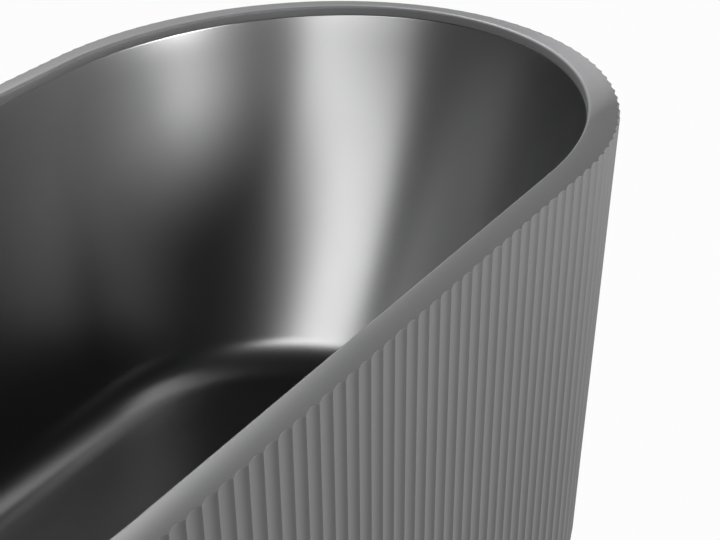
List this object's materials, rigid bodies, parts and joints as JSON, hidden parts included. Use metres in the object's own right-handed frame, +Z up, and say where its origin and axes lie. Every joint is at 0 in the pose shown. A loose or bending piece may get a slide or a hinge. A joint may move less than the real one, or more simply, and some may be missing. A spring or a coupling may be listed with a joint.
{
  "type": "freestanding bathtub",
  "caption": "Freestanding oval bathtub with a fluted outer skirt, crowned scalloped rim, smooth sloping basin, click drain plug, overflow and adjustable feet.",
  "frame": {"origin": "centre of the tub on the floor that its feet stand on", "axes": "+X along the tub's length, +Y across it towards the overflow, +Z up"},
  "size_m": [1.7, 0.75, 0.585],
  "materials": {
    "matt_gelcoat": "matt grey gelcoat",
    "satin_acrylic": "satin dark grey acrylic",
    "sealed_chipboard": "resin sealed board",
    "zinc_steel": "zinc plated",
    "black_plastic": "moulded black",
    "satin_chrome": "satin",
    "brass": "turned",
    "black_rubber": "moulded seal"
  },
  "bodies": {
    "tub": {"base_board": "sealed_chipboard", "basin": "satin_acrylic", "board_screws": "zinc_steel", "body_seal": "black_rubber", "click_cartridge": "brass", "cross_rail_caps": "black_plastic", "cross_rail_foot": "zinc_steel", "cross_rail_head": "zinc_steel", "flange_seal": "black_rubber", "fluted_skirt": "matt_gelcoat", "foot_locknuts": "zinc_steel", "foot_weld_nuts": "zinc_steel", "frame_bolts": "zinc_steel", "frame_nuts": "zinc_steel", "long_rail_caps": "black_plastic", "long_rail_left": "zinc_steel", "long_rail_right": "zinc_steel", "overflow_body": "black_plastic", "overflow_body_seal": "black_rubber", "overflow_cover": "satin_chrome", "overflow_gasket": "black_rubber", "overflow_pipe": "black_plastic", "overflow_pipe_nut_bottom": "black_plastic", "overflow_pipe_nut_top": "black_plastic", "overflow_screw": "zinc_steel", "plug_spring": "zinc_steel", "rim_batten_left": "sealed_chipboard", "rim_batten_right": "sealed_chipboard", "tailpiece": "black_plastic", "tailpiece_nut": "black_plastic", "tailpiece_washer": "black_rubber", "waste_body": "black_plastic", "waste_flange": "satin_chrome"},
    "plug": {"plug_cap": "satin_chrome", "plug_stem": "brass", "plug_seal": "black_rubber"},
    "foot_1": {"foot_cup_1": "black_plastic"},
    "stud_1": {"foot_stud_1": "zinc_steel"},
    "foot_2": {"foot_cup_2": "black_plastic"},
    "stud_2": {"foot_stud_2": "zinc_steel"},
    "foot_3": {"foot_cup_3": "black_plastic"},
    "stud_3": {"foot_stud_3": "zinc_steel"},
    "foot_4": {"foot_cup_4": "black_plastic"},
    "stud_4": {"foot_stud_4": "zinc_steel"}
  },
  "joints": [
    {"name": "plug_click", "type": "slide", "parent": "tub", "child": "plug", "axis": [0, 0, 1], "range_m": [0, 0.009], "deforming": ["plug_spring"]},
    {"name": "foot_1_travel", "type": "slide", "parent": "tub", "child": "foot_1", "axis": [0, 0, -1], "range_m": [0, 0.02]},
    {"name": "stud_1_turn", "type": "hinge", "parent": "foot_1", "child": "stud_1", "pos_m": [-0.45, -0.23, 0.06], "axis": [0, 0, -1], "range_deg": [0, 4115]},
    {"name": "foot_2_travel", "type": "slide", "parent": "tub", "child": "foot_2", "axis": [0, 0, -1], "range_m": [0, 0.02]},
    {"name": "stud_2_turn", "type": "hinge", "parent": "foot_2", "child": "stud_2", "pos_m": [-0.45, 0.23, 0.06], "axis": [0, 0, -1], "range_deg": [0, 4115]},
    {"name": "foot_3_travel", "type": "slide", "parent": "tub", "child": "foot_3", "axis": [0, 0, -1], "range_m": [0, 0.02]},
    {"name": "stud_3_turn", "type": "hinge", "parent": "foot_3", "child": "stud_3", "pos_m": [0.45, -0.23, 0.06], "axis": [0, 0, -1], "range_deg": [0, 4115]},
    {"name": "foot_4_travel", "type": "slide", "parent": "tub", "child": "foot_4", "axis": [0, 0, -1], "range_m": [0, 0.02]},
    {"name": "stud_4_turn", "type": "hinge", "parent": "foot_4", "child": "stud_4", "pos_m": [0.45, 0.23, 0.06], "axis": [0, 0, -1], "range_deg": [0, 4115]}
  ],
  "couplings": [
    {"joint": "stud_1_turn", "follows": "foot_1_travel", "rad_per_m": 3590.4},
    {"joint": "stud_2_turn", "follows": "foot_2_travel", "rad_per_m": 3590.4},
    {"joint": "stud_3_turn", "follows": "foot_3_travel", "rad_per_m": 3590.4},
    {"joint": "stud_4_turn", "follows": "foot_4_travel", "rad_per_m": 3590.4}
  ]
}
